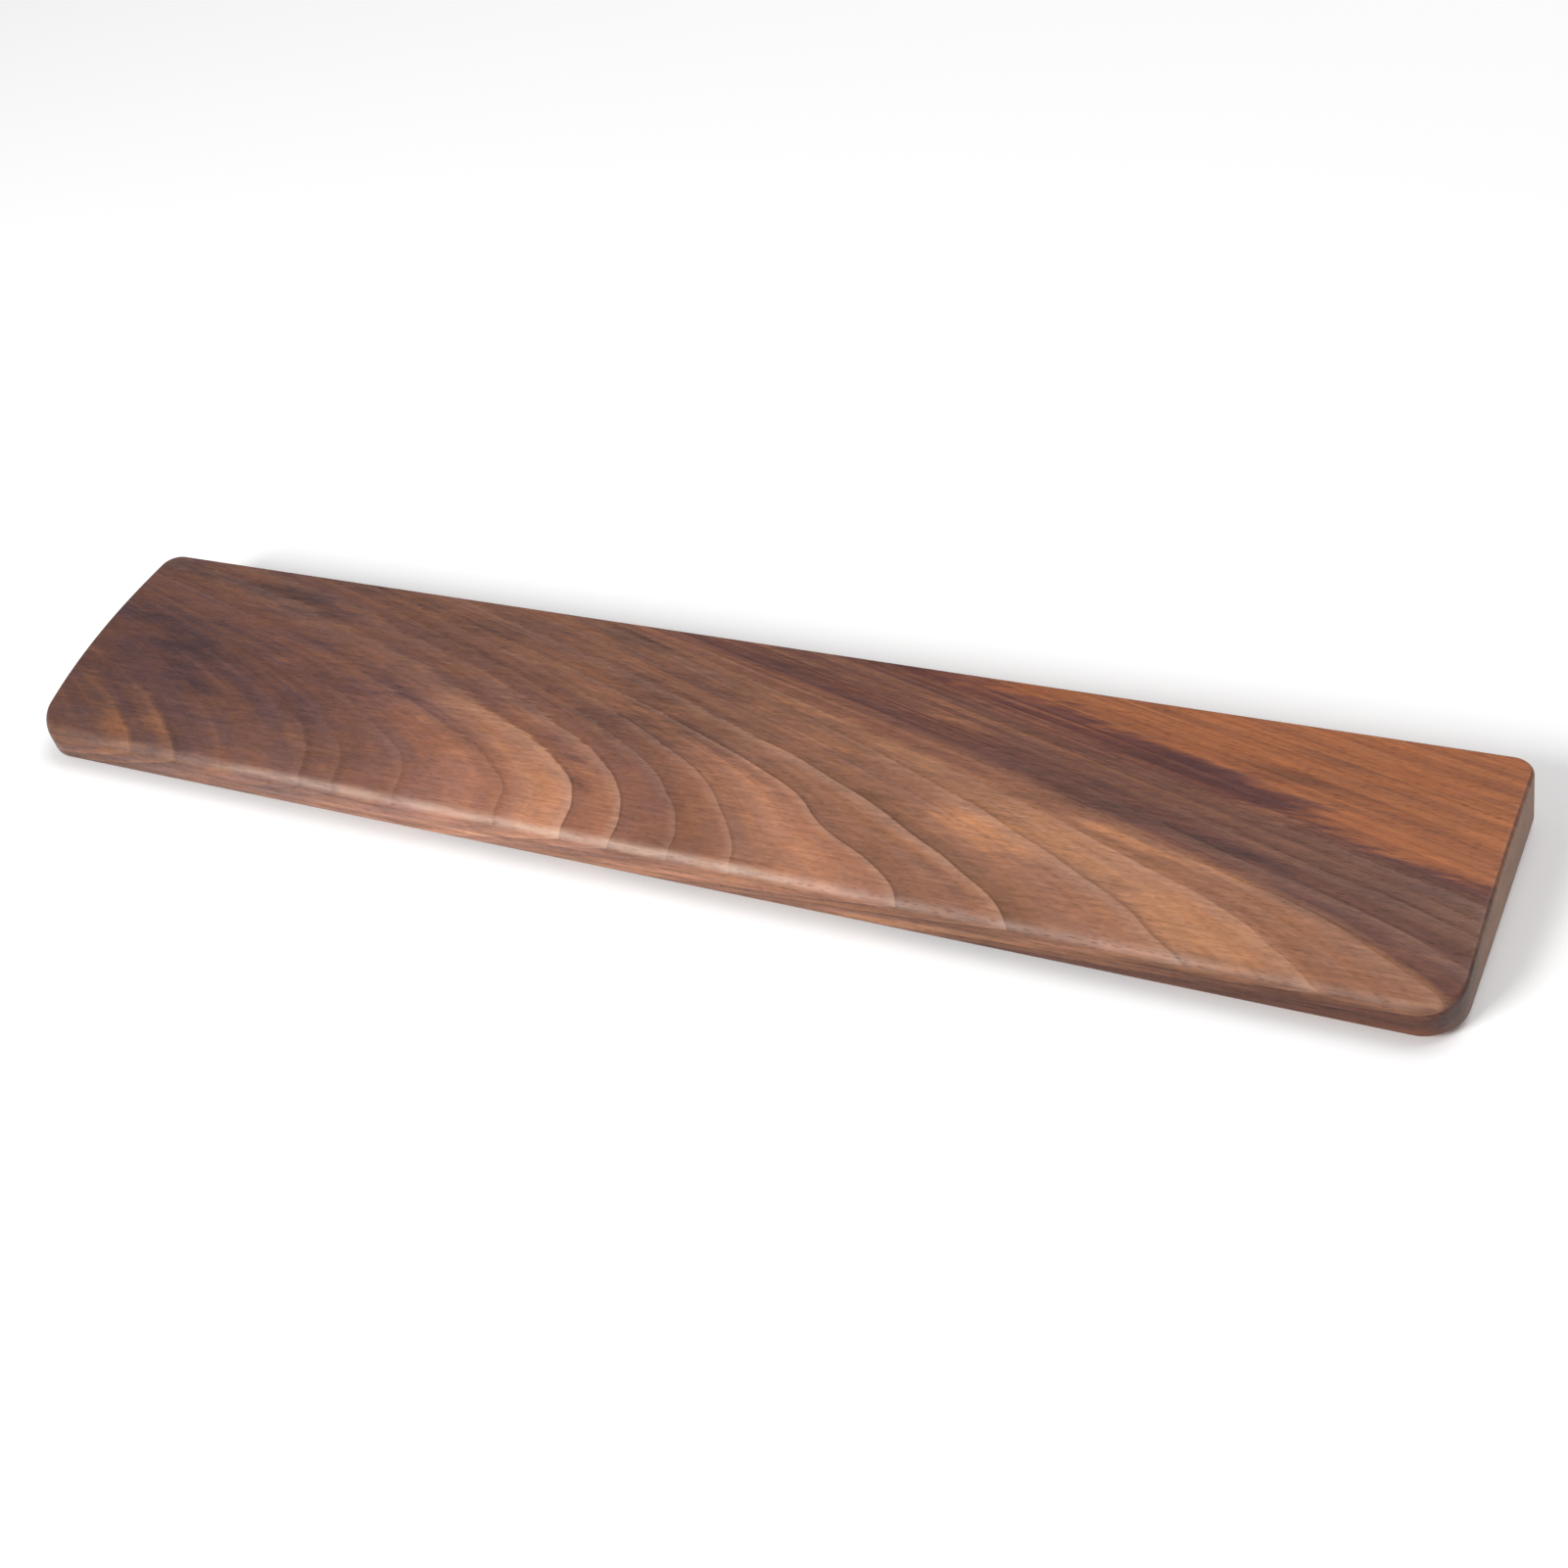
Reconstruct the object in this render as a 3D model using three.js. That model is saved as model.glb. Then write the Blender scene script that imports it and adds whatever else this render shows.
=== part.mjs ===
// Wrist rest for a full-size keyboard: one solid walnut board with a crowned top, standing on six
// self-adhesive rubber feet. Millimetres, +Z up. +X runs along the board and +Y towards the keyboard.
// The origin is on the desk, under the middle of the board.
import * as THREE from "three";

// Board, in plan.
const LENGTH = 440;
const DEPTH = 80;
const BACK_CORNER_RADIUS = 6;
const FRONT_CORNER_RADIUS = 11;

// Crown: heights of the top above the underside. They are the four control heights of a cubic
// Bezier curve whose points are evenly spaced from the keyboard's side to the wrist's side.
const CROWN_BACK = 17.4;
const CROWN_REAR_HANDLE = 18.75;
const CROWN_FRONT_HANDLE = 18.6;
const CROWN_FRONT = 9.55;

// Rounding of the board's edges. The front top edge, where the wrist rolls over, is the softest.
const BOTTOM_ROUND = 2;
const TOP_ROUND = 1.5;
const FRONT_ROUND_DEPTH = 4.6;
const FRONT_ROUND_DROP = 4;

// Feet: rubber discs with a bevelled lower rim, each on its own disc of adhesive foam.
const FOOT_RADIUS = 6;
const FOOT_HEIGHT = 1.25;
const FOOT_BEVEL = 0.4;
const ADHESIVE_RADIUS = 5.5;
const ADHESIVE_THICKNESS = 0.25;
const FOOT_INSET_X = 30;
const FOOT_INSET_Y = 13;
const UNDERSIDE_Z = FOOT_HEIGHT + ADHESIVE_THICKNESS;

// Mesh fineness.
const CORNER_STEPS = 8;
const END_STEPS = 16;
const TOP_ROUND_STEPS = 6;
const BOTTOM_ROUND_STEPS = 4;
const DISC_SIDES = 48;

const QUARTER_TURN = Math.PI / 2;

const walnut = new THREE.MeshStandardMaterial({ color: 0x7d5240, roughness: 0.5, metalness: 0 });
const rubber = new THREE.MeshStandardMaterial({ color: 0x1b1b1c, roughness: 0.85, metalness: 0 });
const adhesive = new THREE.MeshStandardMaterial({ color: 0xd8d6cf, roughness: 0.7, metalness: 0 });

const crown = new THREE.CubicBezierCurve(
  new THREE.Vector2(0, CROWN_BACK),
  new THREE.Vector2(1 / 3, CROWN_REAR_HANDLE),
  new THREE.Vector2(2 / 3, CROWN_FRONT_HANDLE),
  new THREE.Vector2(1, CROWN_FRONT),
);

// Height of the crowned top above the underside, at depth y.
function crownHeight(y) {
  const fromBack = (DEPTH / 2 - y) / DEPTH;
  return crown.getPoint(fromBack).y;
}

// Points of a rounded corner, each with the outward direction of the wall there.
function corner(radius, side, fromAngle, toAngle) {
  const centreX = LENGTH / 2 - radius;
  const centreY = side * (DEPTH / 2 - radius);
  const points = [];
  for (let i = 0; i <= CORNER_STEPS; i++) {
    const angle = THREE.MathUtils.lerp(fromAngle, toAngle, i / CORNER_STEPS);
    const out = new THREE.Vector2(Math.cos(angle), Math.sin(angle));
    points.push({ x: centreX + radius * out.x, y: centreY + radius * out.y, out });
  }
  return points;
}

// The right half of the board's plan, from the back edge round to the front edge.
function halfPlan() {
  const back = corner(BACK_CORNER_RADIUS, 1, QUARTER_TURN, 0);
  const front = corner(FRONT_CORNER_RADIUS, -1, 0, -QUARTER_TURN);
  const fromY = back.at(-1).y;
  const toY = front[0].y;
  const end = [];
  for (let i = 1; i < END_STEPS; i++) {
    const y = THREE.MathUtils.lerp(fromY, toY, i / END_STEPS);
    end.push({ x: LENGTH / 2, y, out: new THREE.Vector2(1, 0) });
  }
  return [...back, ...end, ...front];
}

// One level of the board's skin: how far it lies inside the plan, and its height.
// share is 1 where the wall faces the wrist and 0 where it faces sideways or back.
function bottomLevel(angle) {
  return {
    inset: () => BOTTOM_ROUND * (1 - Math.sin(angle)),
    height: () => BOTTOM_ROUND * (1 - Math.cos(angle)),
  };
}

function topLevel(angle) {
  const depth = (share) => THREE.MathUtils.lerp(TOP_ROUND, FRONT_ROUND_DEPTH, share);
  const drop = (share) => THREE.MathUtils.lerp(TOP_ROUND, FRONT_ROUND_DROP, share);
  return {
    inset: (share) => depth(share) * (1 - Math.cos(angle)),
    height: (share, y) => crownHeight(y) - drop(share) * (1 - Math.sin(angle)),
  };
}

function levels() {
  const list = [];
  for (let i = 0; i <= BOTTOM_ROUND_STEPS; i++) {
    list.push(bottomLevel((QUARTER_TURN * i) / BOTTOM_ROUND_STEPS));
  }
  for (let i = 0; i <= TOP_ROUND_STEPS; i++) {
    list.push(topLevel((QUARTER_TURN * i) / TOP_ROUND_STEPS));
  }
  return list;
}

// A closed skin lofted through the levels. Each ring runs down the right half of the plan and back
// up its mirror image, so the flat underside and the crowned top close with strips along X.
function boardGeometry() {
  const half = halfPlan();
  const ringSize = 2 * half.length;
  const stack = levels();
  const positions = [];
  for (const level of stack) {
    const ring = half.map(({ x, y, out }) => {
      const share = Math.max(0, -out.y) ** 2;
      const inset = level.inset(share);
      const insideY = y - inset * out.y;
      return [x - inset * out.x, insideY, level.height(share, insideY)];
    });
    const mirrored = ring.map(([x, y, z]) => [-x, y, z]).reverse();
    positions.push(...ring.flat(), ...mirrored.flat());
  }
  const index = [];
  const quad = (a, b, c, d) => index.push(a, b, c, a, c, d);
  for (let level = 0; level + 1 < stack.length; level++) {
    for (let i = 0; i < ringSize; i++) {
      const next = (i + 1) % ringSize;
      const low = level * ringSize;
      const high = low + ringSize;
      quad(low + next, low + i, high + i, high + next);
    }
  }
  const top = (stack.length - 1) * ringSize;
  for (let i = 0; i + 1 < half.length; i++) {
    const across = ringSize - 1 - i;
    quad(i, i + 1, across - 1, across);
    quad(top + i + 1, top + i, top + across, top + across - 1);
  }
  const geometry = new THREE.BufferGeometry();
  geometry.setAttribute("position", new THREE.Float32BufferAttribute(positions, 3));
  geometry.setIndex(index);
  geometry.computeVertexNormals();
  return geometry;
}

// A rubber foot, standing on z = 0.
function footGeometry() {
  const profile = [
    new THREE.Vector2(0, 0),
    new THREE.Vector2(FOOT_RADIUS - FOOT_BEVEL, 0),
    new THREE.Vector2(FOOT_RADIUS, FOOT_BEVEL),
    new THREE.Vector2(FOOT_RADIUS, FOOT_HEIGHT),
    new THREE.Vector2(0, FOOT_HEIGHT),
  ];
  return new THREE.LatheGeometry(profile, DISC_SIDES).rotateX(QUARTER_TURN);
}

// A disc of double-sided adhesive foam, centred on the origin.
function adhesiveGeometry() {
  const sides = DISC_SIDES;
  const disc = new THREE.CylinderGeometry(ADHESIVE_RADIUS, ADHESIVE_RADIUS, ADHESIVE_THICKNESS, sides);
  return disc.rotateX(QUARTER_TURN);
}

function namedMesh(name, geometry, material) {
  const mesh = new THREE.Mesh(geometry, material);
  mesh.name = name;
  return mesh;
}

const wristRest = new THREE.Group();

const board = namedMesh("walnut_board", boardGeometry(), walnut);
board.position.z = UNDERSIDE_Z;
wristRest.add(board);

const rows = { front: -(DEPTH / 2 - FOOT_INSET_Y), back: DEPTH / 2 - FOOT_INSET_Y };
const columns = { left: -(LENGTH / 2 - FOOT_INSET_X), middle: 0, right: LENGTH / 2 - FOOT_INSET_X };
for (const [row, y] of Object.entries(rows)) {
  for (const [column, x] of Object.entries(columns)) {
    const foot = namedMesh(`foot_${row}_${column}`, footGeometry(), rubber);
    foot.position.set(x, y, 0);
    const pad = namedMesh(`adhesive_${row}_${column}`, adhesiveGeometry(), adhesive);
    pad.position.set(x, y, FOOT_HEIGHT + ADHESIVE_THICKNESS / 2);
    wristRest.add(foot, pad);
  }
}

export default wristRest;
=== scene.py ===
"""Wrist rest: one solid, oiled walnut board on six self-adhesive rubber feet.

The board's surface and the wood's figure are both worked out in millimetres from the middle of the
board's underside, as (along, across, up): along runs to the right, across towards the keyboard.
"""
import math

import bmesh
import bpy
import numpy as np
from mathutils import Matrix, Vector


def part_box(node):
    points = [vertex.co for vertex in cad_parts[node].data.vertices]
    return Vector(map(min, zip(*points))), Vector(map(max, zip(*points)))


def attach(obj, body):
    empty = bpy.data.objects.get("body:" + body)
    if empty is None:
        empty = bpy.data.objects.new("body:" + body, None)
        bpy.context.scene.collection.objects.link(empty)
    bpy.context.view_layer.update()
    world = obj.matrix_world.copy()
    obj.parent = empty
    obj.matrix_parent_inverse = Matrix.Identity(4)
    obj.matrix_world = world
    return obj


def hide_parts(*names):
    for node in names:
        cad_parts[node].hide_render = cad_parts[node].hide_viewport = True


MM = 0.001
QUARTER_TURN = math.pi / 2

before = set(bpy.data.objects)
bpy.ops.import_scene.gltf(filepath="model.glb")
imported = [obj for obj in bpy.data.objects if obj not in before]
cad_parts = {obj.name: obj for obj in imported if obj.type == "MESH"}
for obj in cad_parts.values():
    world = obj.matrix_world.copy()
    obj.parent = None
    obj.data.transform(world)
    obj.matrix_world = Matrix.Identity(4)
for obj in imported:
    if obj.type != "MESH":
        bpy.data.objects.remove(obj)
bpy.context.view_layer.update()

board_low, board_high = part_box("walnut_board")
LENGTH = (board_high.x - board_low.x) / MM
DEPTH = (board_high.y - board_low.y) / MM
UNDERSIDE = board_low.z / MM

# Board, in plan and in section, as it is made in the CAD.
BACK_CORNER_RADIUS = 6
FRONT_CORNER_RADIUS = 11
CROWN_HANDLES = (17.4, 18.75, 18.6, 9.55)
BOTTOM_ROUND = 2
TOP_ROUND = 1.5
FRONT_ROUND_DEPTH = 4.6
FRONT_ROUND_DROP = 4

# Fineness of the shown surface.
CORNER_STEPS = 20
END_STEPS = 76
TOP_ROUND_STEPS = 12
BOTTOM_ROUND_STEPS = 6
ALONG_STEPS = 220


# ---------------------------------------------------------------- camera, lights and floor

# Camera: its place, lens and sensor are in millimetres.
CAMERA_PLACE = (306.2, -375.6, 425.9)
CAMERA_YAW = math.radians(36.74)
CAMERA_PITCH = math.radians(-41.93)
CAMERA_ROLL = math.radians(-16.25)
LENS = 52.3

SENSOR_WIDTH = 36

# Studio, in metres and watts. The softboxes are square and face the middle of the board.
WORLD_STRENGTH = 0.34
SOFTBOXES = {
    "key_softbox": {"place": (-0.6, -1.25, 0.95), "size": 0.6, "power": 27},
    "fill_softbox": {"place": (1.0, 1.2, 2.6), "size": 2.2, "power": 54},
}
FLOOR_SIZE = 40.0
FLOOR_SHADE = 0.86


def add_camera():
    """The camera looks along +Y before it is turned: pitch tips it down and yaw turns it left."""
    data = bpy.data.cameras.new("camera")
    data.lens = LENS
    data.sensor_width = SENSOR_WIDTH
    camera = bpy.data.objects.new("camera", data)
    bpy.context.scene.collection.objects.link(camera)
    yaw = Matrix.Rotation(CAMERA_YAW, 4, "Z")
    pitch = Matrix.Rotation(QUARTER_TURN + CAMERA_PITCH, 4, "X")
    roll = Matrix.Rotation(CAMERA_ROLL, 4, "Z")
    camera.matrix_world = Matrix.Translation(Vector(CAMERA_PLACE) * MM) @ yaw @ pitch @ roll
    bpy.context.scene.camera = camera


def add_softbox(name, place, size, power):
    data = bpy.data.lights.new(name, "AREA")
    data.shape = "SQUARE"
    data.size = size
    data.energy = power
    light = bpy.data.objects.new(name, data)
    bpy.context.scene.collection.objects.link(light)
    light.location = place
    light.rotation_euler = (-Vector(place)).to_track_quat("-Z", "Y").to_euler()


def add_world():
    """Even white light from all round."""
    world = bpy.data.worlds.new("studio")
    world.use_nodes = True
    background = world.node_tree.nodes["Background"]
    background.inputs["Color"].default_value = (1, 1, 1, 1)
    background.inputs["Strength"].default_value = WORLD_STRENGTH
    bpy.context.scene.world = world


def add_floor():
    mesh = bpy.data.meshes.new("floor")
    shape = bmesh.new()
    bmesh.ops.create_grid(shape, x_segments=1, y_segments=1, size=FLOOR_SIZE / 2)
    shape.to_mesh(mesh)
    shape.free()
    floor = bpy.data.objects.new("floor", mesh)
    bpy.context.scene.collection.objects.link(floor)
    graph = Graph("floor")
    shade = (FLOOR_SHADE, FLOOR_SHADE, FLOOR_SHADE, 1)
    graph.surface(**{"Base Color": shade, "Roughness": 0.9, "Specular IOR Level": 0.1})
    mesh.materials.append(graph.material)


# ---------------------------------------------------------------- material building

class Graph:
    """One material's node tree, with methods that add nodes to it. Most return the node's output."""

    def __init__(self, name):
        self.material = bpy.data.materials.new(name)
        self.material.use_nodes = True
        self.nodes = self.material.node_tree.nodes
        self.links = self.material.node_tree.links
        self.nodes.clear()

    def feed(self, socket, value):
        if isinstance(value, bpy.types.NodeSocket):
            self.links.new(value, socket)
        elif value is not None:
            socket.default_value = value

    def node(self, kind, inputs=(), **settings):
        made = self.nodes.new(kind)
        for name, value in settings.items():
            setattr(made, name, value)
        for key, value in dict(inputs).items():
            self.feed(made.inputs[key], value)
        return made

    def math(self, operation, a, b=None, clamp=False):
        inputs = {0: a, 1: b}
        return self.node("ShaderNodeMath", inputs, operation=operation, use_clamp=clamp).outputs[0]

    def add(self, a, b):
        return self.math("ADD", a, b)

    def times(self, a, b):
        return self.math("MULTIPLY", a, b)

    def range(self, value, low, high, to_low=0.0, to_high=1.0, smooth=True):
        """value from low..high to to_low..to_high, held at both ends."""
        inputs = {0: value, 1: low, 2: high, 3: to_low, 4: to_high}
        kind = "SMOOTHSTEP" if smooth else "LINEAR"
        return self.node("ShaderNodeMapRange", inputs, interpolation_type=kind).outputs[0]

    def mix(self, factor, a, b, blend="MIX"):
        inputs = {0: factor, 6: a, 7: b}
        made = self.node("ShaderNodeMix", inputs, data_type="RGBA", blend_type=blend)
        return made.outputs[2]

    def attribute(self, name):
        return self.node("ShaderNodeAttribute", attribute_name=name).outputs["Fac"]

    def point(self):
        """The place in the frame, in millimetres."""
        return self.scale(self.node("ShaderNodeTexCoord").outputs["Object"], 1 / MM)

    def stretch(self, vector, grain):
        """The vector divided by a grain size along each axis, in millimetres."""
        inputs = {0: vector, 1: grain}
        return self.node("ShaderNodeVectorMath", inputs, operation="DIVIDE").outputs[0]

    def noise(self, vector, grain, detail=2.0, roughness=0.5, seed=0.0):
        """Smooth noise about 0, in -0.5..0.5, with features of about the grain's size."""
        inputs = {
            "Vector": self.stretch(vector, grain),
            "W": seed,
            "Scale": 1.0,
            "Detail": detail,
            "Roughness": roughness,
        }
        made = self.node("ShaderNodeTexNoise", inputs, noise_dimensions="4D")
        return self.math("SUBTRACT", made.outputs["Fac"], 0.5)

    def grey(self, value):
        return self.node("ShaderNodeCombineColor", {0: value, 1: value, 2: value}).outputs[0]

    def scale(self, vector, factor):
        inputs = {0: vector, "Scale": factor}
        return self.node("ShaderNodeVectorMath", inputs, operation="SCALE").outputs[0]

    def ramp(self, value, stops, start, end, interpolation="LINEAR"):
        """Colours at places from start to end, where value runs from 0 to 1."""
        made = self.node("ShaderNodeValToRGB", {"Fac": value})
        made.color_ramp.interpolation = interpolation
        elements = made.color_ramp.elements
        while len(elements) < len(stops):
            elements.new(1.0)
        for element, (place, code) in zip(elements, stops):
            element.position = (place - start) / (end - start)
            element.color = linear(code)
        return made.outputs["Color"]

    def pores(self, vector, grain):
        """1 inside short slits or round cells, each of up to about half the grain's size."""
        inputs = {"Vector": self.stretch(vector, grain), "Scale": 1.0}
        cell = self.node("ShaderNodeTexVoronoi", inputs, feature="F1")
        chance = self.node("ShaderNodeSeparateColor", {0: cell.outputs["Color"]}).outputs[0]
        radius = self.times(chance, 0.45)
        inside = self.math("SUBTRACT", radius, cell.outputs["Distance"])
        return self.range(inside, -0.05, 0.15)

    def surface(self, bump=None, **inputs):
        shader = self.node("ShaderNodeBsdfPrincipled", inputs)
        if bump is not None:
            self.links.new(bump, shader.inputs["Normal"])
        self.node("ShaderNodeOutputMaterial", {"Surface": shader.outputs[0]})


def linear(code):
    """A colour's hex code as linear red, green, blue and alpha."""
    shades = [int(code[i:i + 2], 16) / 255 for i in (0, 2, 4)]
    return (*[s / 12.92 if s < 0.04045 else ((s + 0.055) / 1.055) ** 2.4 for s in shades], 1)


def grey_code(value):
    """The hex code of a grey whose linear shade is the value."""
    shade = 12.92 * value if value < 0.0031308 else 1.055 * value ** (1 / 2.4) - 0.055
    return f"{round(shade * 255):02x}" * 3


# ---------------------------------------------------------------- the board's surface

def crown_height(y):
    """Height of the crowned top above the underside, at depth y."""
    u = (DEPTH / 2 - y) / DEPTH
    a, b, c, d = CROWN_HANDLES
    v = 1 - u
    return a * v**3 + 3 * b * u * v**2 + 3 * c * u**2 * v + d * u**3


def half_plan():
    """The right half of the plan, from back to front: places and outward directions."""
    def corner(radius, side, from_angle, to_angle):
        centre = np.array([LENGTH / 2 - radius, side * (DEPTH / 2 - radius)])
        angles = np.linspace(from_angle, to_angle, CORNER_STEPS + 1)
        out = np.stack([np.cos(angles), np.sin(angles)], axis=1)
        return centre + radius * out, out

    back, back_out = corner(BACK_CORNER_RADIUS, 1, QUARTER_TURN, 0)
    front, front_out = corner(FRONT_CORNER_RADIUS, -1, 0, -QUARTER_TURN)
    y = np.linspace(back[-1, 1], front[0, 1], END_STEPS + 1)[1:-1]
    end = np.stack([np.full_like(y, LENGTH / 2), y], axis=1)
    end_out = np.tile([1.0, 0.0], (len(y), 1))
    return np.concatenate([back, end, front]), np.concatenate([back_out, end_out, front_out])


def board_levels(places, out):
    """The half plan at each level of the board's skin, from the underside up to the top."""
    share = np.maximum(0, -out[:, 1]) ** 2
    depth = TOP_ROUND + (FRONT_ROUND_DEPTH - TOP_ROUND) * share
    drop = TOP_ROUND + (FRONT_ROUND_DROP - TOP_ROUND) * share
    levels = []
    for angle in np.linspace(0, QUARTER_TURN, BOTTOM_ROUND_STEPS + 1):
        inside = places - BOTTOM_ROUND * (1 - math.sin(angle)) * out
        z = np.full(len(places), BOTTOM_ROUND * (1 - math.cos(angle)))
        levels.append(np.column_stack([inside, z]))
    for angle in np.linspace(0, QUARTER_TURN, TOP_ROUND_STEPS + 1):
        inside = places - (depth * (1 - math.cos(angle)))[:, None] * out
        z = crown_height(inside[:, 1]) - drop * (1 - math.sin(angle))
        levels.append(np.column_stack([inside, z]))
    return levels


def board_mesh():
    """The whole skin: a loop of points for each level, and a grid of rows along the board that
    closes the underside and the top."""
    levels = board_levels(*half_plan())
    along = np.linspace(1, -1, ALONG_STEPS + 1)[1:-1]
    points = []
    faces = []

    def add(rows):
        first = len(points)
        points.extend(rows)
        return list(range(first, len(points)))

    def between(right):
        return [(right[0] * t, right[1], right[2]) for t in along]

    loops = []
    for level in levels:
        right = add([tuple(p) for p in level])
        front = add(between(level[-1]))
        left = add([(-p[0], p[1], p[2]) for p in level[::-1]])
        back = add(between(level[0])[::-1])
        loops.append((right, front, left, back))
    for low, high in zip(loops, loops[1:]):
        a = sum(low, [])
        b = sum(high, [])
        for i in range(len(a)):
            j = (i + 1) % len(a)
            faces.append((a[j], a[i], b[i], b[j]))
    for loop, level, facing_up in ((loops[0], levels[0], False), (loops[-1], levels[-1], True)):
        right, front, left, back = loop
        rows = [[right[0], *back[::-1], left[-1]]]
        for i in range(1, len(level) - 1):
            rows.append([right[i], *add(between(level[i])), left[-1 - i]])
        rows.append([right[-1], *front, left[0]])
        for upper, lower in zip(rows, rows[1:]):
            for i in range(len(upper) - 1):
                quad = (upper[i], upper[i + 1], lower[i + 1], lower[i])
                faces.append(quad if facing_up else quad[::-1])
    return np.array(points), faces


# ---------------------------------------------------------------- the tree's growth surfaces
#
# Each growth surface is known by the place, along, where it meets the front of the crowned top. It
# sweeps to the left along a hyperbola towards the back, and it dips to the left under the top. A
# sweep with a start above 0 runs straight back first, and one with a start below 0 already slants
# at the front. Columns: place, length swept per mm of depth, start of the sweep, softness of it.
SWEEPS = np.array([
    (-240, 4.4, -12, 70),
    (-169, 4.4, -8, 62),
    (-115, 4.4, 6, 40),
    (-45, 4.4, 7, 30),
    (-25, 4.4, 9, 37),
    (-9, 4.5, 8, 50),
    (29, 4.4, 3, 58),
    (77, 4.5, -4, 50),
    (110, 4.4, -10, 55),
    (156, 3.6, -20, 50),
    (190, 3.7, -8, 25),
    (217, 3.8, 0, 13),
    (323, 3.8, 0, 10),
    (1000, 3.8, 0, 10),
], float)
USUAL_SLOPE = 4.4              # the slope of most of the sweeps
DIP_START = 1.6                # below the crowned top
DIP_PLACES = (-60, 110)        # the dip, along per mm further down, flattens between these
DIPS = (6, 21)
FIRST_GROWTH, LAST_GROWTH = -400, 1400
HALVINGS = 36

# Knots in the sweep, where a growth surface bulges: along, from the front, widths, and how far.
BULGES = ((48, 18, 22, 9, 10),)


def growth(points):
    """Which growth surface each point lies on, and how far that has swept round there, from 0 to 1.
    The sweep is solved by halving."""
    x, y, z = points.T
    from_front = y + DEPTH / 2
    x = x + np.interp(x, DIP_PLACES, DIPS) * np.maximum(crown_height(y) - z - DIP_START, 0)
    low = np.full(len(x), float(FIRST_GROWTH))
    high = np.full(len(x), float(LAST_GROWTH))
    for _ in range(HALVINGS):
        middle = (low + high) / 2
        place, slope, start, softness = (np.interp(middle, SWEEPS[:, 0], c) for c in SWEEPS.T)
        back = np.maximum(from_front - start, 0)
        before = np.maximum(-start, 0)
        swept = slope * (np.hypot(back, softness) - np.hypot(before, softness))
        right_of = place - swept < x
        low = np.where(right_of, middle, low)
        high = np.where(right_of, high, middle)
    found = (low + high) / 2
    slant = back / np.hypot(back, softness)
    for along, depth, width, reach, bulge in BULGES:
        found += bulge * np.exp(-((x - along) / width) ** 2 - ((from_front - depth) / reach) ** 2)
    return found, slant


# ---------------------------------------------------------------- walnut
#
# Growth rings of the heartwood, from the oldest: the place where each starts, how crisp that start
# is, and near the front of the top its colours just after its start and just before the next. A
# crisp start has a thin light rim before it and a thin dark line of pores after it. The dark outer
# heartwood starts at 218.
RINGS = (
    (-290, 0.3, "5f4239", "64463c"),
    (-236, 0.4, "5d4138", "5f4339"),
    (-192, 0.0, "5f4339", "76523e"),
    (-180, 0.6, "5a3f37", "5f4339"),
    (-172, 0.0, "5f4339", "76523e"),
    (-163, 0.8, "573d36", "6b4b41"),
    (-145, 0.4, "654840", "6d4d43"),
    (-116, 0.8, "62453c", "6d4d43"),
    (-104, 0.7, "6a4a40", "7d584a"),
    (-82, 0.5, "7a5547", "9c6d57"),
    (-58, 0.0, "9c6d57", "875d4c"),
    (-47, 0.5, "875d4c", "a97a5e"),
    (-38, 0.0, "a8795d", "ad7e62"),
    (-25, 1.0, "835a47", "946750"),
    (-9, 1.0, "7d5747", "795444"),
    (10, 0.6, "76513e", "8b614b"),
    (29, 0.8, "855f4a", "a4755a"),
    (55, 0.0, "a4755a", "8f644d"),
    (78, 1.0, "795643", "956b53"),
    (109, 1.0, "745340", "926952"),
    (133, 0.0, "926952", "966c53"),
    (155, 0.9, "9c7154", "a77a5a"),
    (168, 0.0, "a77a5a", "9c7054"),
    (190, 0.65, "845c45", "8b6148"),
    (204, 0.2, "8d644c", "855e46"),
    (218, 0.5, "573935", "64453b"),
    (240, 0.4, "563930", "67483a"),
    (266, 0.4, "53342f", "6c4c3b"),
    (280, 0.4, "573931", "664638"),
    (294, 0.5, "53322e", "5b3833"),
    (340, 0.3, "5b3833", "613f39"),
)
LAST_PLACE = 1000

# Ring edges. Starts and widths are in mm through the thickness of the rings, and the others are
# shares and a colour.
SOFT_START, CRISP_START = 4.0, 0.4
BACK_SOFTENING = 1.2
LINE_WIDTH = 1.3
LINE_DARKER = 0.22
RIM_WIDTH = 4.0
RIM = "b4937e"
RIM_AMOUNT = 0.22

# What the rings fade to away from the front, by place.
BACK_COLOURS = (
    (-290, "493230"),
    (-104, "543a36"),
    (-25, "5a3e38"),
    (15, "644539"),
    (187, "72503f"),
    (219, "683f38"),
    (340, "643934"),
)

# Sapwood: where it starts, how much later for each mm of depth beyond the turn, and its colours.
SAPWOOD_START = 322
SAPWOOD_TURN = 40
SAPWOOD_LATER = 0.3
SAPWOOD_DARK = "885437"
SAPWOOD_LIGHT = "a0663f"

# Streaks of heartwood along the growth.
STREAK_LIGHT = "92664b"
STREAK_DARK = "472c2c"

# Tongues of sapwood (above 0) or heartwood across their border: along, from the front, widths, amount.
TONGUES = (
    (196, 43, 22, 3.0, 30),
    (128, 60, 22, 3.5, -34),
    (143, 55, 22, 2.5, -24),
    (95, 68, 24, 3.0, -26),
    (112, 65, 16, 2.2, 22),
    (70, 73, 18, 2.0, 24),
)

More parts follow.
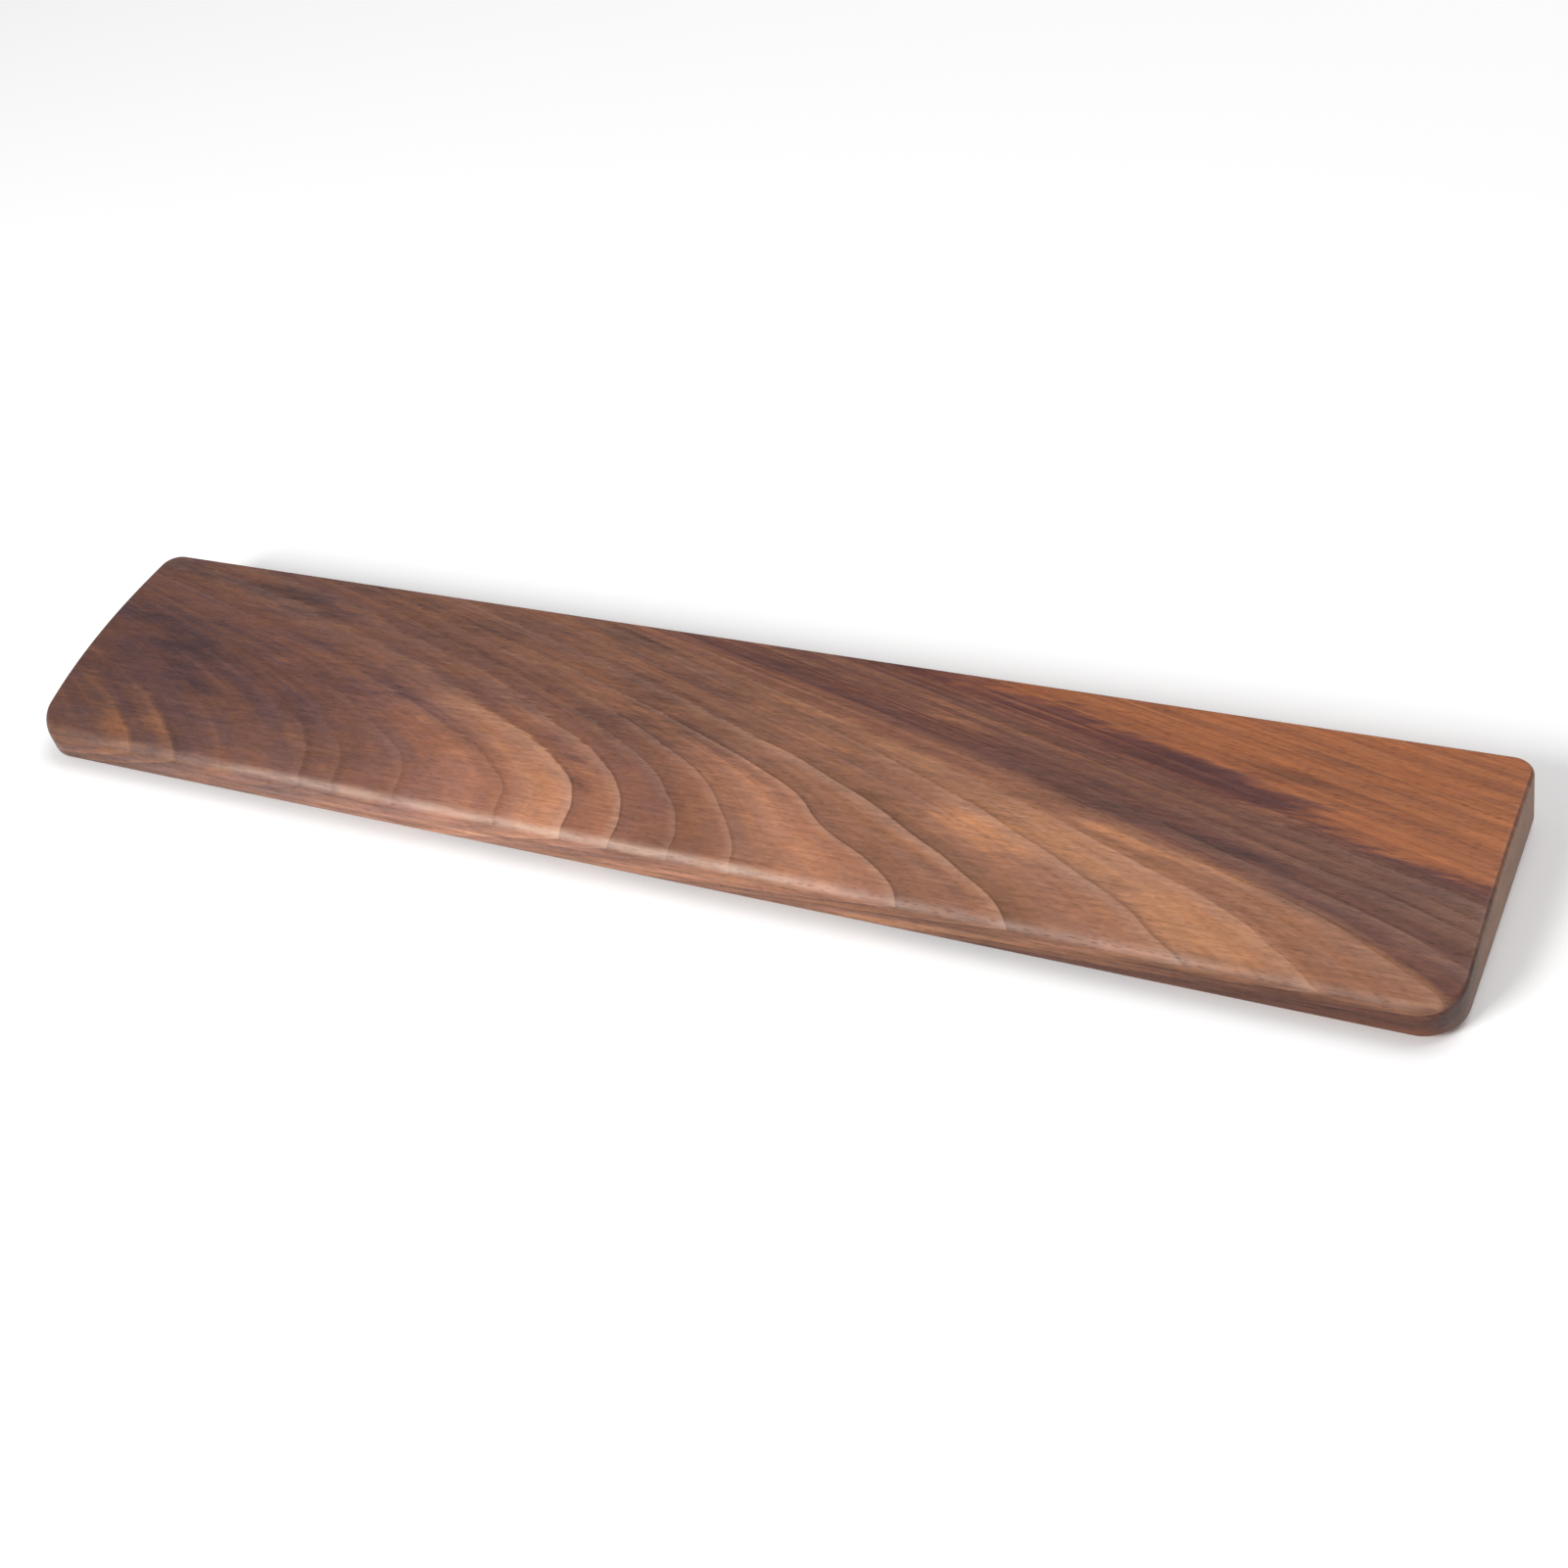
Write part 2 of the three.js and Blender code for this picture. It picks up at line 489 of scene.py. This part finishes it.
# Places where the wood is lighter (above 0) or darker: along, from the front, widths, amount.
FIGURE = (
    (-28, 24, 12, 1.3, -0.5),
    (-22, 20.5, 12, 1.3, 0.4),
    (-26, 17, 12, 1.3, -0.4),
    (-76, 24, 18, 5, -0.25),
    (-72, 17, 16, 5, 0.15),
    (-12, 44, 42, 13, -0.45),
    (-2, 38, 22, 7, -0.25),
    (-40, 74, 24, 5, -0.6),
    (-138, 62, 40, 7, -0.36),
    (185, 58, 45, 8, -0.4),
    (163, 60, 14, 2.0, -0.4),
    (120, 42, 24, 5, -0.3),
    (122, 16, 16, 5, -0.3),
    (120, 0, 18, 4, 0.15),
    (175, 67, 20, 2.0, -0.35),
    (-200, 72, 20, 8, -0.3),
    (93, 27, 15, 5, 0.9),
    (113, 21, 14, 5, 0.3),
    (165, 22, 20, 6, 0.1),
    (120, 33, 12, 2.0, 0.8),
    (142, 28.5, 20, 2.2, 0.8),
    (74, 44.5, 26, 1.7, 0.65),
    (36, 45, 16, 1.7, 0.7),
    (34, 55.5, 22, 1.8, 0.65),
    (62, 62, 24, 1.5, 0.5),
    (-60, 57, 24, 2.0, 0.5),
    (-112, 42, 20, 1.6, 0.5),
    (-84, 29, 12, 2.2, 0.5),
    (-198, 47, 16, 5, -0.7),
    (-178, 40, 14, 4, -0.7),
    (-176, 71, 20, 4, -0.25),
    (-205, 30, 10, 6, -0.4),
    (-160, 22, 20, 4, -0.4),
    (-120, 36, 16, 6, -0.4),
    (-205, 74, 24, 5, -0.5),
    (-100, 68, 26, 3, -0.4),
    (-120, 76, 40, 3, -0.4),
    (10, 74, 36, 4, -0.5),
    (-5, 60, 30, 4, -0.3),
    (94, 31.5, 6, 1.1, -0.8),
    (102, 30, 5, 1.0, -0.7),
    (62, 30, 10, 2.5, -0.5),
    (150, 34, 30, 3, -0.6),
    (132, 57, 28, 5, -0.5),
    (158, 47, 24, 2.5, 0.6),
    (204, 31, 16, 9, -0.42),
    (205, 13, 12, 5, 0.28),
    (80, 25, 12, 3, 0.3),
    (82, 47, 20, 6, -0.3),
    (116, 38, 14, 3, -0.3),
)
PATCH_LEAN = 0.2               # further back for each mm to the left
PATCH_THICKNESS = 14           # patches fade out this far below the top
LIGHT_FIGURE = "c28a60"
# The dark colour also paints shade on the end grain.
DARK_FIGURE_AND_SHADE = "38282a"

# Painted light on the front wall: a painted sheen makes it paler at the left, and painted shade makes it
# darker and warmer at the right.
FRONT_WALL_PAINTED_SHEEN = "ab8672"
FRONT_WALL_PAINTED_SHADE = "633a22"

# What the base colour is multiplied by where the wood turns towards plum and towards rust.
PLUM = (0.84, 0.82, 0.95, 1)
RUST = (1.04, 0.90, 0.76, 1)

# What it is multiplied by in the pores, the colour of end grain, greyer partly as painted light, and the
# colour of the ridge, worn and with a painted highlight.
PORE = (0.74, 0.66, 0.62, 1)
END_GRAIN_AND_PAINTED_LIGHT = "705640"
RIDGE_WEAR_AND_HIGHLIGHT = "d2b8a4"


RING_STARTS = np.array([ring[0] for ring in RINGS] + [LAST_PLACE], float)


def ring_number(places):
    """How many growth rings lie inside each place."""
    return np.interp(places, RING_STARTS, range(len(RING_STARTS)))


def ring_length(places):
    """How far apart, along, the rings start near each place."""
    middles = (RING_STARTS[1:] + RING_STARTS[:-1]) / 2
    return np.interp(places, middles, np.diff(RING_STARTS))


def patches(points, table):
    """The sum of a table's soft patches at each point."""
    x, y, z = points.T
    from_front = y + DEPTH / 2
    total = np.zeros(len(points))
    for along, depth, width, reach, amount in table:
        away = (x - along) / width
        beyond = (from_front - depth + PATCH_LEAN * (x - along)) / reach
        total += amount * np.exp(-away**2 - beyond**2)
    return total * np.clip(1 - (crown_height(y) - z) / PATCH_THICKNESS, 0, 1)


class Walnut:
    """The walnut's material, painted layer by layer. Distances are in mm."""

    def __init__(self):
        graph = Graph("walnut")
        self.graph = graph
        self.point = graph.point()
        axes = graph.node("ShaderNodeSeparateXYZ", {0: self.point}).outputs
        self.along = axes["X"]
        self.from_front = graph.add(axes["Y"], DEPTH / 2)
        self.place = graph.attribute("place")
        self.front = graph.attribute("front")
        # Noise in these coordinates is drawn out along the growth surfaces instead of the fibres.
        flow_axes = {0: self.along, 1: self.place, 2: axes["Y"]}
        self.flow = graph.node("ShaderNodeCombineXYZ", flow_axes).outputs[0]

        self.backness = self.find_backness()
        self.outer = graph.range(self.place, 200, 235)
        self.lines = graph.noise(self.flow, (120, 5.5, 60), 3, 0.65, 3.0)
        self.count_rings()
        colour = self.ring_colours()
        colour = self.add_streaks(colour)
        self.sap = self.find_sapwood()
        colour = graph.mix(self.sap, colour, self.sapwood_colour())
        colour = self.add_figure(colour)
        colour = self.add_ring_edges(colour)
        colour = self.add_grain(colour)
        colour = self.add_end_grain(colour)
        colour = self.add_wear_and_ridge_highlight(colour)
        self.finish(colour)

    def find_backness(self):
        """How far, from 0 to 1, the wood belongs to the quieter and darker back of the board."""
        graph = self.graph
        drift = graph.times(graph.noise(self.point, (50, 7, 7), 3, 0.6, 7.0), 26)
        start = graph.range(self.place, -60, 60, 2, 25, smooth=False)
        start = graph.add(start, graph.range(self.place, 110, 150, 0, -15))
        end = graph.range(self.place, -120, 40, 34, 66, smooth=False)
        return graph.range(graph.add(self.from_front, drift), start, end)

    def count_rings(self):
        """The ring's number, and the distances through the wood from its start and to the next. The
        rings wander, and at the back they are feathered along the fibres."""
        graph = self.graph
        wander = graph.noise(self.point, (55, 13, 13), 1, 0.5, 1.0)
        wander = graph.times(wander, graph.range(graph.attribute("slant"), 0.0, 0.7, 4, 12))
        feather = graph.noise(self.point, (18, 1.0, 1.0), 3, 0.6, 2.0)
        feather = graph.times(feather, graph.range(self.backness, 0, 1, 0.5, 20))
        moved = graph.math("DIVIDE", graph.add(wander, feather), graph.attribute("length"))
        self.age = graph.add(graph.attribute("age"), moved)
        self.ring = graph.math("FLOOR", self.age)
        self.grown = graph.math("SUBTRACT", self.age, self.ring)
        thickness = graph.attribute("thickness")
        self.since = graph.times(self.grown, thickness)
        self.until = graph.times(graph.math("SUBTRACT", 1.0, self.grown), thickness)

    def of_ring(self, codes, later=0):
        """A colour looked up by the ring's number, or by that of a later ring."""
        value = self.graph.times(self.graph.add(self.ring, 0.5 + later), 1 / len(RINGS))
        return self.graph.ramp(value, list(enumerate(codes)), 0, len(RINGS), "CONSTANT")

    def ring_colours(self):
        """Each ring turns from its first colour to its last, and all of them fade to the back."""
        graph = self.graph
        crispness = [grey_code(ring[1]) for ring in RINGS]
        first_codes = [ring[2] for ring in RINGS]
        last_codes = [ring[3] for ring in RINGS]
        self.crisp = self.of_ring(crispness)
        self.crisp_next = self.of_ring(crispness, 1)
        patchy = graph.times(graph.noise(self.flow, (28, 14, 12), 3, 0.6, 19.0), 0.9)
        turned = graph.math("ADD", self.grown, graph.times(patchy, self.grown), clamp=True)
        colour = graph.mix(turned, self.of_ring(first_codes), self.of_ring(last_codes))
        step = graph.range(self.crisp, 0, 1, SOFT_START, CRISP_START, smooth=False)
        step = graph.add(step, graph.times(self.backness, BACK_SOFTENING))
        colour = graph.mix(graph.range(self.since, 0.0, step), self.of_ring(last_codes, -1), colour)
        stops = [(float(ring_number(place)), code) for place, code in BACK_COLOURS]
        back = graph.ramp(graph.times(self.age, 1 / len(RINGS)), stops, 0, len(RINGS))
        fade = graph.times(self.backness, graph.range(self.outer, 0, 1, 0.85, 0.35))
        return graph.mix(fade, colour, back)

    def add_streaks(self, colour):
        """Streaks along the growth, mostly in the outer heartwood and towards the back."""
        graph = self.graph
        dark = graph.times(graph.range(self.lines, -0.2, 0.0, 0.5, 0), self.outer)
        colour = graph.mix(dark, colour, linear(STREAK_DARK))
        amount = graph.times(self.outer, graph.range(self.along, 90, 210, 0.5, -0.3))
        amount = graph.times(graph.add(amount, 0.4), graph.range(self.along, -160, -40, 0.4, 1))
        amount = graph.times(amount, self.backness)
        amount = graph.times(amount, graph.range(self.lines, -0.02, 0.22))
        return graph.mix(amount, colour, linear(STREAK_LIGHT))

    def find_sapwood(self):
        """1 in the sapwood. Its border has tongues along the fibres."""
        graph = self.graph
        late = graph.math("MAXIMUM", graph.add(self.from_front, -SAPWOOD_TURN), 0.0)
        tongues = graph.times(graph.noise(self.point, (30, 2.2, 2.2), 3, 0.65, 5.0), 95)
        border = graph.add(self.place, graph.times(late, -SAPWOOD_LATER))
        border = graph.add(border, graph.add(tongues, graph.attribute("tongues")))
        return graph.range(border, SAPWOOD_START - 16, SAPWOOD_START + 18)

    def sapwood_colour(self):
        graph = self.graph
        streaks = graph.noise(self.flow, (160, 14, 50), 3, 0.6, 9.0)
        streaks = graph.add(streaks, graph.times(self.lines, 1.5))
        return graph.mix(graph.range(streaks, -0.3, 0.3), linear(SAPWOOD_DARK), linear(SAPWOOD_LIGHT))

    def add_figure(self, colour):
        """Broad light and dark patches along the growth, flames along the fibres, and turns of hue. On
        the front wall, a painted sheen at the left and painted shade to the right.
        """
        graph = self.graph
        broad = graph.noise(self.flow, (60, 16, 24), 4, 0.65, 11.0)
        flames = graph.noise(self.point, (26, 2.2, 2.2), 3, 0.65, 8.0)
        clouds = graph.noise(self.point, (34, 7, 7), 4, 0.65, 27.0)
        clouds = graph.times(clouds, graph.range(self.along, -150, -20, 2.2, 0.5))
        broken = graph.add(graph.times(broad, 1.4), graph.add(flames, clouds))
        broken = graph.times(broken, graph.range(self.sap, 0, 1, 1, 0.4))
        # Painted shade: the front wall grows darker towards the right.
        wall = graph.times(self.front, graph.range(self.along, -30, 210, 0.05, -0.76))
        shade = graph.add(graph.add(graph.attribute("figure"), wall), broken)
        light = graph.range(shade, 0.1, 1.2, 0, 0.75)
        light = graph.times(light, graph.range(self.along, -160, -60, 0.45, 1))
        colour = graph.mix(light, colour, linear(LIGHT_FIGURE))
        colour = graph.mix(graph.range(shade, -1.0, -0.05, 0.75, 0), colour, linear(DARK_FIGURE_AND_SHADE))

        # Painted sheen: the front wall is paler at the left, fading out by the middle.
        painted_wall_sheen = graph.times(self.front, graph.range(self.along, -60, 60, 0.33, 0))
        painted_wall_sheen = graph.times(painted_wall_sheen, graph.range(self.along, -210, -110, 0.15, 1))
        colour = graph.mix(painted_wall_sheen, colour, linear(FRONT_WALL_PAINTED_SHEEN))
        # Painted shade: the front wall is darker and warmer towards the right.
        painted_wall_shade = graph.times(self.front, graph.range(self.along, 20, 200, 0.05, 0.5))
        colour = graph.mix(painted_wall_shade, colour, linear(FRONT_WALL_PAINTED_SHADE))

        hue = graph.noise(self.flow, (45, 10, 14), 3, 0.65, 13.0)
        hue = graph.add(hue, graph.times(clouds, 0.35))
        hue = graph.times(hue, graph.range(self.along, -140, 60, 0.9, 0.5))
        tint = graph.mix(graph.range(hue, -0.16, 0.16), PLUM, RUST)
        return graph.mix(1.0, colour, tint, "MULTIPLY")

    def add_ring_edges(self, colour):
        """A thin dark line where a crisp ring starts, after a thin light rim."""
        graph = self.graph
        seen = graph.times(graph.range(self.sap, 0, 1, 1, 0), graph.range(self.backness, 0, 1, 1, 0.3))
        rim = graph.times(graph.range(self.until, 0.2, RIM_WIDTH, 1, 0), self.crisp_next)
        rim = graph.times(graph.times(rim, seen), graph.range(self.place, -120, -20, 0.2, 1))
        colour = graph.mix(graph.times(rim, RIM_AMOUNT), colour, linear(RIM))
        width = graph.range(self.place, -120, -20, 2.5 * LINE_WIDTH, LINE_WIDTH)
        line = graph.times(graph.range(self.since, 0.3, width, 1, 0), self.crisp)
        darker = graph.add(graph.times(graph.times(line, seen), -LINE_DARKER), 1.0)
        return graph.mix(1.0, colour, graph.grey(darker), "MULTIPLY")

    def add_grain(self, colour):
        """Fibres, fine growth lines, mottle and pores."""
        graph = self.graph
        self.fibres = graph.noise(self.point, (12, 0.8, 0.8), 3, 0.7, 4.0)
        self.mottle = graph.noise(self.point, (9, 4, 4), 2, 0.5, 6.0)
        speckle = graph.noise(self.point, (3.2, 0.75, 0.75), 2, 0.6, 31.0)
        growth_lines = graph.noise(self.flow, (90, 3.0, 40), 2, 0.6, 17.0)
        growth_lines = graph.times(growth_lines, graph.attribute("slant"))
        wall_streaks = graph.times(graph.noise(self.point, (30, 1.3, 1.3), 3, 0.65, 33.0), self.front)
        tone = graph.add(graph.times(self.fibres, 0.9), graph.times(speckle, 0.65))
        tone = graph.add(tone, graph.times(self.mottle, 0.3))
        tone = graph.add(tone, graph.times(growth_lines, 0.9))
        tone = graph.add(tone, graph.times(wall_streaks, 2.0))
        tone = graph.times(tone, graph.range(self.sap, 0, 1, 1, 0.72))
        colour = graph.mix(1.0, colour, graph.grey(graph.add(tone, 1.0)), "MULTIPLY")
        self.pores = graph.pores(self.point, (3.0, 0.45, 0.45))
        porous = graph.range(self.grown, 0.0, 0.8, 0.9, 0.45)
        return graph.mix(graph.times(self.pores, porous), colour, PORE, "MULTIPLY")

    def add_end_grain(self, colour):
        """End grain, greyer, partly as painted light, with the fibres seen as dots and blotches of
        soaked-up oil. Painted shade darkens it towards the front corner and along its rounded edges.
        """
        graph = self.graph
        end = graph.attribute("end")
        dots = graph.noise(self.point, (4, 0.7, 0.7), 3, 0.6, 21.0)
        soaked = graph.noise(self.point, (30, 9, 5), 3, 0.6, 23.0)
        # The end grain's own greyer tone, partly painted light.
        grain = graph.mix(0.6, colour, linear(END_GRAIN_AND_PAINTED_LIGHT))
        # Painted shade: darker towards the front corner.
        grain = graph.mix(graph.range(self.from_front, 2, 34, 0.5, 0), grain, linear(DARK_FIGURE_AND_SHADE))
        tone = graph.add(graph.times(dots, 1.2), graph.add(graph.times(soaked, 0.9), 0.97))
        tone = graph.add(tone, graph.times(self.lines, 0.7))
        grain = graph.mix(1.0, grain, graph.grey(tone), "MULTIPLY")
        colour = graph.mix(graph.range(end, 0.3, 0.9), colour, grain)
        # Painted shade: a dark line along the end's rounded edges.
        edge = graph.times(graph.range(end, 0.05, 0.4), graph.range(end, 0.5, 0.95, 1, 0))
        return graph.mix(graph.times(edge, 0.55), colour, linear(DARK_FIGURE_AND_SHADE))

    def add_wear_and_ridge_highlight(self, colour):
        """Handling lightens the rounded edges, unevenly. The ridge at the front gets a pale band, partly
        wear and partly a painted highlight.
        """
        graph = self.graph
        wear_and_highlight_patches = graph.noise(self.point, (14, 3, 3), 3, 0.6, 25.0)
        self.worn = graph.times(graph.range(wear_and_highlight_patches, -0.1, 0.25), graph.attribute("edge"))
        colour = graph.mix(graph.times(self.worn, 0.16), colour, linear(LIGHT_FIGURE))
        # Painted highlight, with wear: a pale band along the front ridge, strongest just left of the
        # middle.
        ridge_wear_and_highlight = graph.times(graph.range(self.front, 0.2, 0.45), graph.range(self.front, 0.5, 0.75, 1, 0))
        ridge_wear_and_highlight = graph.times(ridge_wear_and_highlight, graph.range(wear_and_highlight_patches, -0.25, 0.2, 0.2, 1))
        ridge_wear_and_highlight = graph.times(ridge_wear_and_highlight, graph.range(self.along, -170, -110, 0.1, 1))
        ridge_wear_and_highlight = graph.times(ridge_wear_and_highlight, graph.range(self.along, 0, 100, 1, 0.15))
        return graph.mix(graph.times(ridge_wear_and_highlight, 0.3), colour, linear(RIDGE_WEAR_AND_HIGHLIGHT))

    def finish(self, colour):
        """Oiled wood: a soft sheen, rougher in the pores and smoother where it is worn."""
        graph = self.graph
        rough = graph.range(self.fibres, -0.4, 0.4, 0.38, 0.54, smooth=False)
        rough = graph.add(rough, graph.times(self.mottle, 0.12))
        rough = graph.add(rough, graph.times(self.pores, 0.2))
        rough = graph.add(rough, graph.times(self.worn, -0.06))
        height = graph.add(graph.times(self.fibres, 0.5), graph.times(self.pores, -0.4))
        bump = graph.node("ShaderNodeBump", {"Strength": 0.6, "Distance": 0.00008, "Height": height})
        oil = {"Roughness": rough, "IOR": 1.45, "Specular IOR Level": 0.35}
        graph.surface(bump.outputs[0], **{"Base Color": colour}, **oil)


def new_piece(name, points, faces, material, node):
    """A mesh in the frame, given in mm from the underside, that stands for a CAD node."""
    mesh = bpy.data.meshes.new(name)
    mesh.from_pydata([(x * MM, y * MM, (z + UNDERSIDE) * MM) for x, y, z in points], [], faces)
    mesh.shade_smooth()
    mesh.materials.append(material)
    piece = bpy.data.objects.new(name, mesh)
    bpy.context.scene.collection.objects.link(piece)
    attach(piece, "root")
    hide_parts(node)
    return piece


def add_attribute(piece, name, values):
    piece.data.attributes.new(name, "FLOAT", "POINT").data.foreach_set("value", values)


# ---------------------------------------------------------------- feet

DISC_SIDES = 64
FOOT_BEVEL = 0.4
FOOT_TOP_ROUND = 0.15
FOOT_DISH = 0.06               # how far the middle of the sole is drawn in
FOAM_BULGE = 0.06
ROUND_POINTS = 5
HUB = 0.05                     # a disc's innermost ring of points, as a share of its radius


def rubber_material():
    graph = Graph("rubber")
    point = graph.point()
    rim = graph.attribute("rim")
    grain = graph.noise(point, (0.3, 0.3, 0.3), 2, 0.6, 1.0)
    blotches = graph.noise(point, (4, 4, 4), 4, 0.6, 2.0)
    colour = graph.mix(graph.range(blotches, -0.25, 0.25), linear("161617"), linear("212122"))
    # Dust clings in patches, and the rim is scuffed paler where it slides on the desk.
    dust = graph.times(graph.range(blotches, 0.02, 0.3), graph.range(grain, -0.1, 0.25))
    colour = graph.mix(graph.times(dust, 0.35), colour, linear("6e6b66"))
    scuff = graph.times(graph.range(rim, 0.86, 0.97), graph.range(grain, -0.2, 0.2))
    colour = graph.mix(graph.times(scuff, 0.3), colour, linear("4a4a4a"))
    rough = graph.range(blotches, -0.3, 0.3, 0.74, 0.92)
    bump = graph.node("ShaderNodeBump", {"Strength": 0.5, "Distance": 0.00005, "Height": grain})
    graph.surface(bump.outputs[0], **{"Base Color": colour, "Roughness": rough, "IOR": 1.5})
    return graph.material


def foam_material():
    graph = Graph("adhesive_foam")
    point = graph.point()
    cells = graph.pores(point, (0.5, 0.5, 0.5))
    blotches = graph.noise(point, (3, 3, 3), 3, 0.6, 3.0)
    colour = graph.mix(graph.range(blotches, -0.25, 0.25), linear("c9c5ba"), linear("e0ded8"))
    colour = graph.mix(graph.times(cells, 0.4), colour, linear("9a958a"))
    # The cut edge picks up dust.
    grime = graph.times(graph.range(graph.attribute("rim"), 0.9, 1.0), graph.range(blotches, -0.2, 0.3))
    colour = graph.mix(graph.times(grime, 0.5), colour, linear("7d776c"))
    rough = graph.range(blotches, -0.3, 0.3, 0.65, 0.85)
    bump = graph.node("ShaderNodeBump", {"Strength": 0.6, "Distance": 0.00004, "Height": cells})
    bump.invert = True
    graph.surface(bump.outputs[0], **{"Base Color": colour, "Roughness": rough, "IOR": 1.45})
    return graph.material


def quarter_round(radius, z, size, from_angle):
    """A rounded rim's section, as (from the axis, up), over a quarter turn."""
    centre = (radius - size, z)
    angles = np.linspace(from_angle, from_angle + QUARTER_TURN, ROUND_POINTS)
    return [(centre[0] + size * math.cos(a), centre[1] + size * math.sin(a)) for a in angles]


def lathe(centre, section):
    """Points and faces of a section, from low to high, turned about an upright axis."""
    turns = np.linspace(0, 2 * math.pi, DISC_SIDES, endpoint=False)
    points = []
    for radius, z in section:
        for turn in turns:
            points.append((centre[0] + radius * math.cos(turn), centre[1] + radius * math.sin(turn), z))
    faces = []
    for level in range(len(section) - 1):
        low = level * DISC_SIDES
        high = low + DISC_SIDES
        for i in range(DISC_SIDES):
            j = (i + 1) % DISC_SIDES
            faces.append((low + i, low + j, high + j, high + i))
    last = (len(section) - 1) * DISC_SIDES
    faces.append(tuple(range(DISC_SIDES))[::-1])
    faces.append(tuple(range(last, last + DISC_SIDES)))
    return points, faces


def add_disc(node, section_of, material):
    """Puts a finer turned piece in place of a CAD disc."""
    low, high = (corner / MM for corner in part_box(node))
    centre = (low + high) / 2
    radius = (high.x - low.x) / 2
    section = section_of(radius, low.z - UNDERSIDE, high.z - UNDERSIDE)
    points, faces = lathe(centre, section)
    piece = new_piece(f"{node}_shown", points, faces, material, node)
    add_attribute(piece, "rim", [math.hypot(x - centre.x, y - centre.y) / radius for x, y, z in points])


def foot_section(radius, low, high):
    """A dished sole, a rounded rim, a straight wall and a slightly rounded top."""
    flat = radius - FOOT_BEVEL
    sole = [(flat * t, low + FOOT_DISH * (1 - t**2)) for t in (HUB, 0.25, 0.5, 0.75, 0.9, 0.99)]
    rim = quarter_round(radius, low + FOOT_BEVEL, FOOT_BEVEL, -QUARTER_TURN)
    top = quarter_round(radius, high - FOOT_TOP_ROUND, FOOT_TOP_ROUND, 0)
    return [*sole, *rim, *top, (radius - 3 * FOOT_TOP_ROUND, high), (HUB * flat, high)]


def foam_section(radius, low, high):
    """A thin disc whose cut edge bulges a little where it is pressed."""
    middle = (low + high) / 2
    lower = [(radius - FOAM_BULGE, low), (radius - FOAM_BULGE / 3, (low + middle) / 2)]
    upper = [(r, low + high - z) for r, z in lower[::-1]]
    wall = [*lower, (radius, middle), *upper]
    hub = HUB * radius
    flat = 0.9 * radius
    return [(hub, low), (flat, low), *wall, (flat, high), (hub, high)]


def add_feet():
    rubber = rubber_material()
    foam = foam_material()
    for row in ("front", "back"):
        for column in ("left", "middle", "right"):
            add_disc(f"foot_{row}_{column}", foot_section, rubber)
            add_disc(f"adhesive_{row}_{column}", foam_section, foam)


def add_board():
    """The board, and what the walnut's material reads at each point of it: place (of its growth
    surface), slant (how far that has swept round), age (in rings), length and thickness (of a
    ring, along and through), figure and tongues (the patches), and end, front and edge (how far
    it faces that way)."""
    points, faces = board_mesh()
    board = new_piece("board", points, faces, Walnut().graph.material, "walnut_board")
    places, slant = growth(points)
    add_attribute(board, "place", places)
    add_attribute(board, "slant", slant)
    add_attribute(board, "age", ring_number(places))
    lengths = ring_length(places)
    add_attribute(board, "length", lengths)
    add_attribute(board, "thickness", lengths / np.hypot(1, USUAL_SLOPE * slant))
    add_attribute(board, "figure", patches(points, FIGURE))
    add_attribute(board, "tongues", patches(points, TONGUES))
    normals = np.array([vertex.normal for vertex in board.data.vertices])
    add_attribute(board, "end", normals[:, 0] ** 2)
    add_attribute(board, "front", np.maximum(0, -normals[:, 1]) ** 2)
    up = normals[:, 2] ** 2
    add_attribute(board, "edge", np.clip((4 * up * (1 - up) - 0.4) / 0.5, 0, 1))


add_camera()
add_world()
for softbox, settings in SOFTBOXES.items():
    add_softbox(softbox, **settings)
add_floor()
bpy.context.scene.view_settings.view_transform = "Standard"

add_board()
add_feet()
